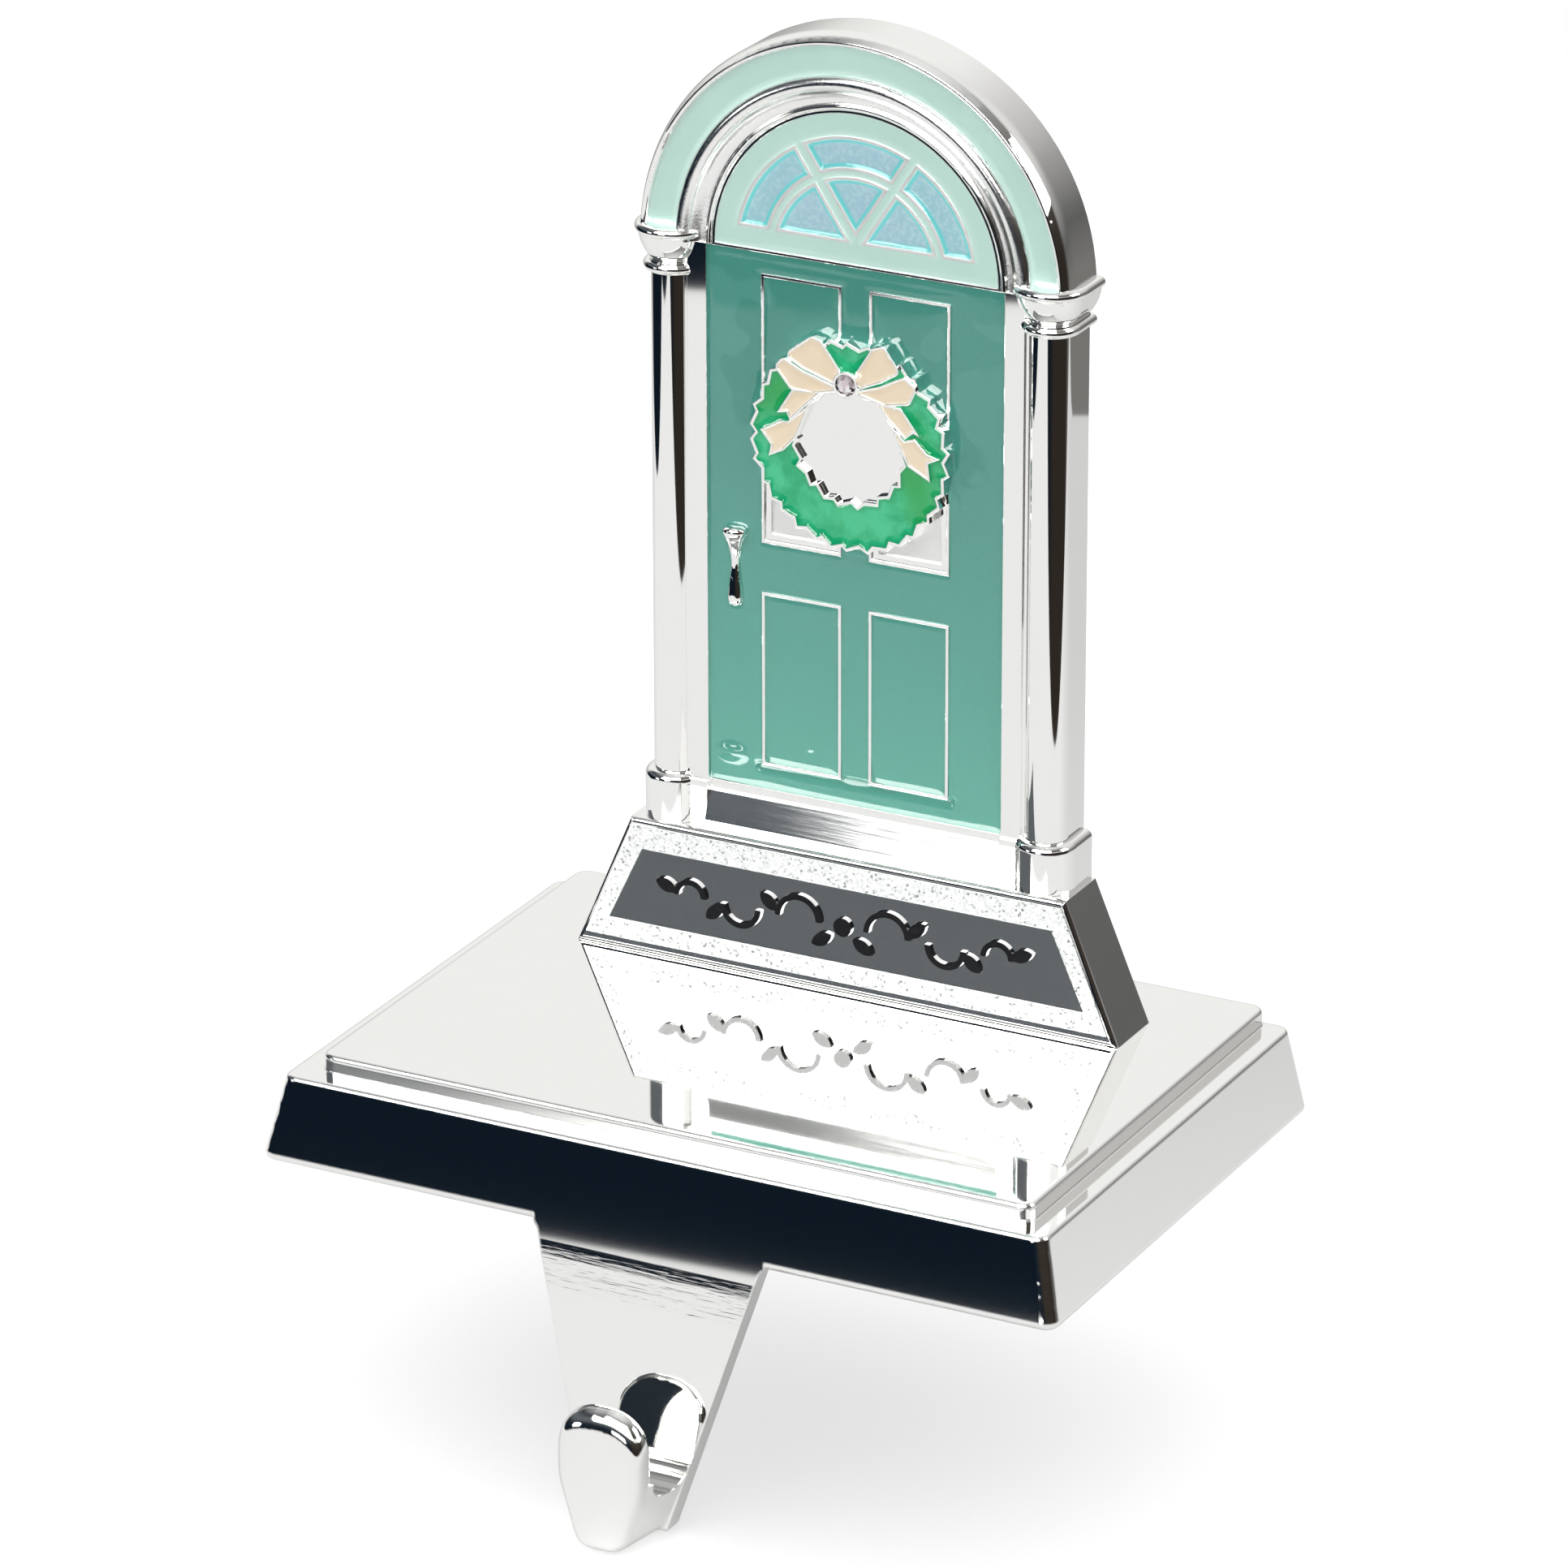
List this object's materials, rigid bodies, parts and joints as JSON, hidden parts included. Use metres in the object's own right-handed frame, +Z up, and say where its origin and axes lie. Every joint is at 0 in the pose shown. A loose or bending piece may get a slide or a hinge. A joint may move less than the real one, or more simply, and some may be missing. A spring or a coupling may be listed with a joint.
{
  "type": "door stocking holder",
  "caption": "Mantel stocking holder: a weighted metal base with a front hook arm and a cast, enamelled figure of an arched front door with a wreath.",
  "frame": {"origin": "middle of the pad's underside, on the mantel top", "axes": "+Z up, the door and the hook face -Y, +X to the right of someone facing the door"},
  "size_m": [0.1138, 0.0905, 0.1813],
  "materials": {
    "plated_metal": "polished",
    "foam_pad": "matte",
    "screw_steel": "satin",
    "door_enamel": "gloss",
    "mint_enamel": "gloss",
    "pane_enamel": "gloss",
    "wreath_green": "gloss",
    "cream_enamel": "gloss",
    "clear_stone": "polished",
    "silver_glitter": "gloss",
    "black_enamel": "gloss"
  },
  "bodies": {
    "root": {"base_and_hook": "plated_metal", "door_figure": "plated_metal", "mantel_pad": "foam_pad", "figure_screws": "screw_steel", "door_field": "door_enamel", "panel_upper_left": "door_enamel", "panel_upper_right": "door_enamel", "panel_lower_left": "door_enamel", "panel_lower_right": "door_enamel", "arch_band": "mint_enamel", "fanlight_field": "mint_enamel", "pane_outer_left": "pane_enamel", "pane_outer_top": "pane_enamel", "pane_outer_right": "pane_enamel", "pane_inner_left": "pane_enamel", "pane_inner_top": "pane_enamel", "pane_inner_right": "pane_enamel", "wreath_enamel": "wreath_green", "bow_left": "cream_enamel", "bow_right": "cream_enamel", "ribbon_left": "cream_enamel", "ribbon_right": "cream_enamel", "stone": "clear_stone", "glitter_border": "silver_glitter", "plaque_ornament": "black_enamel"}
  },
  "joints": []
}
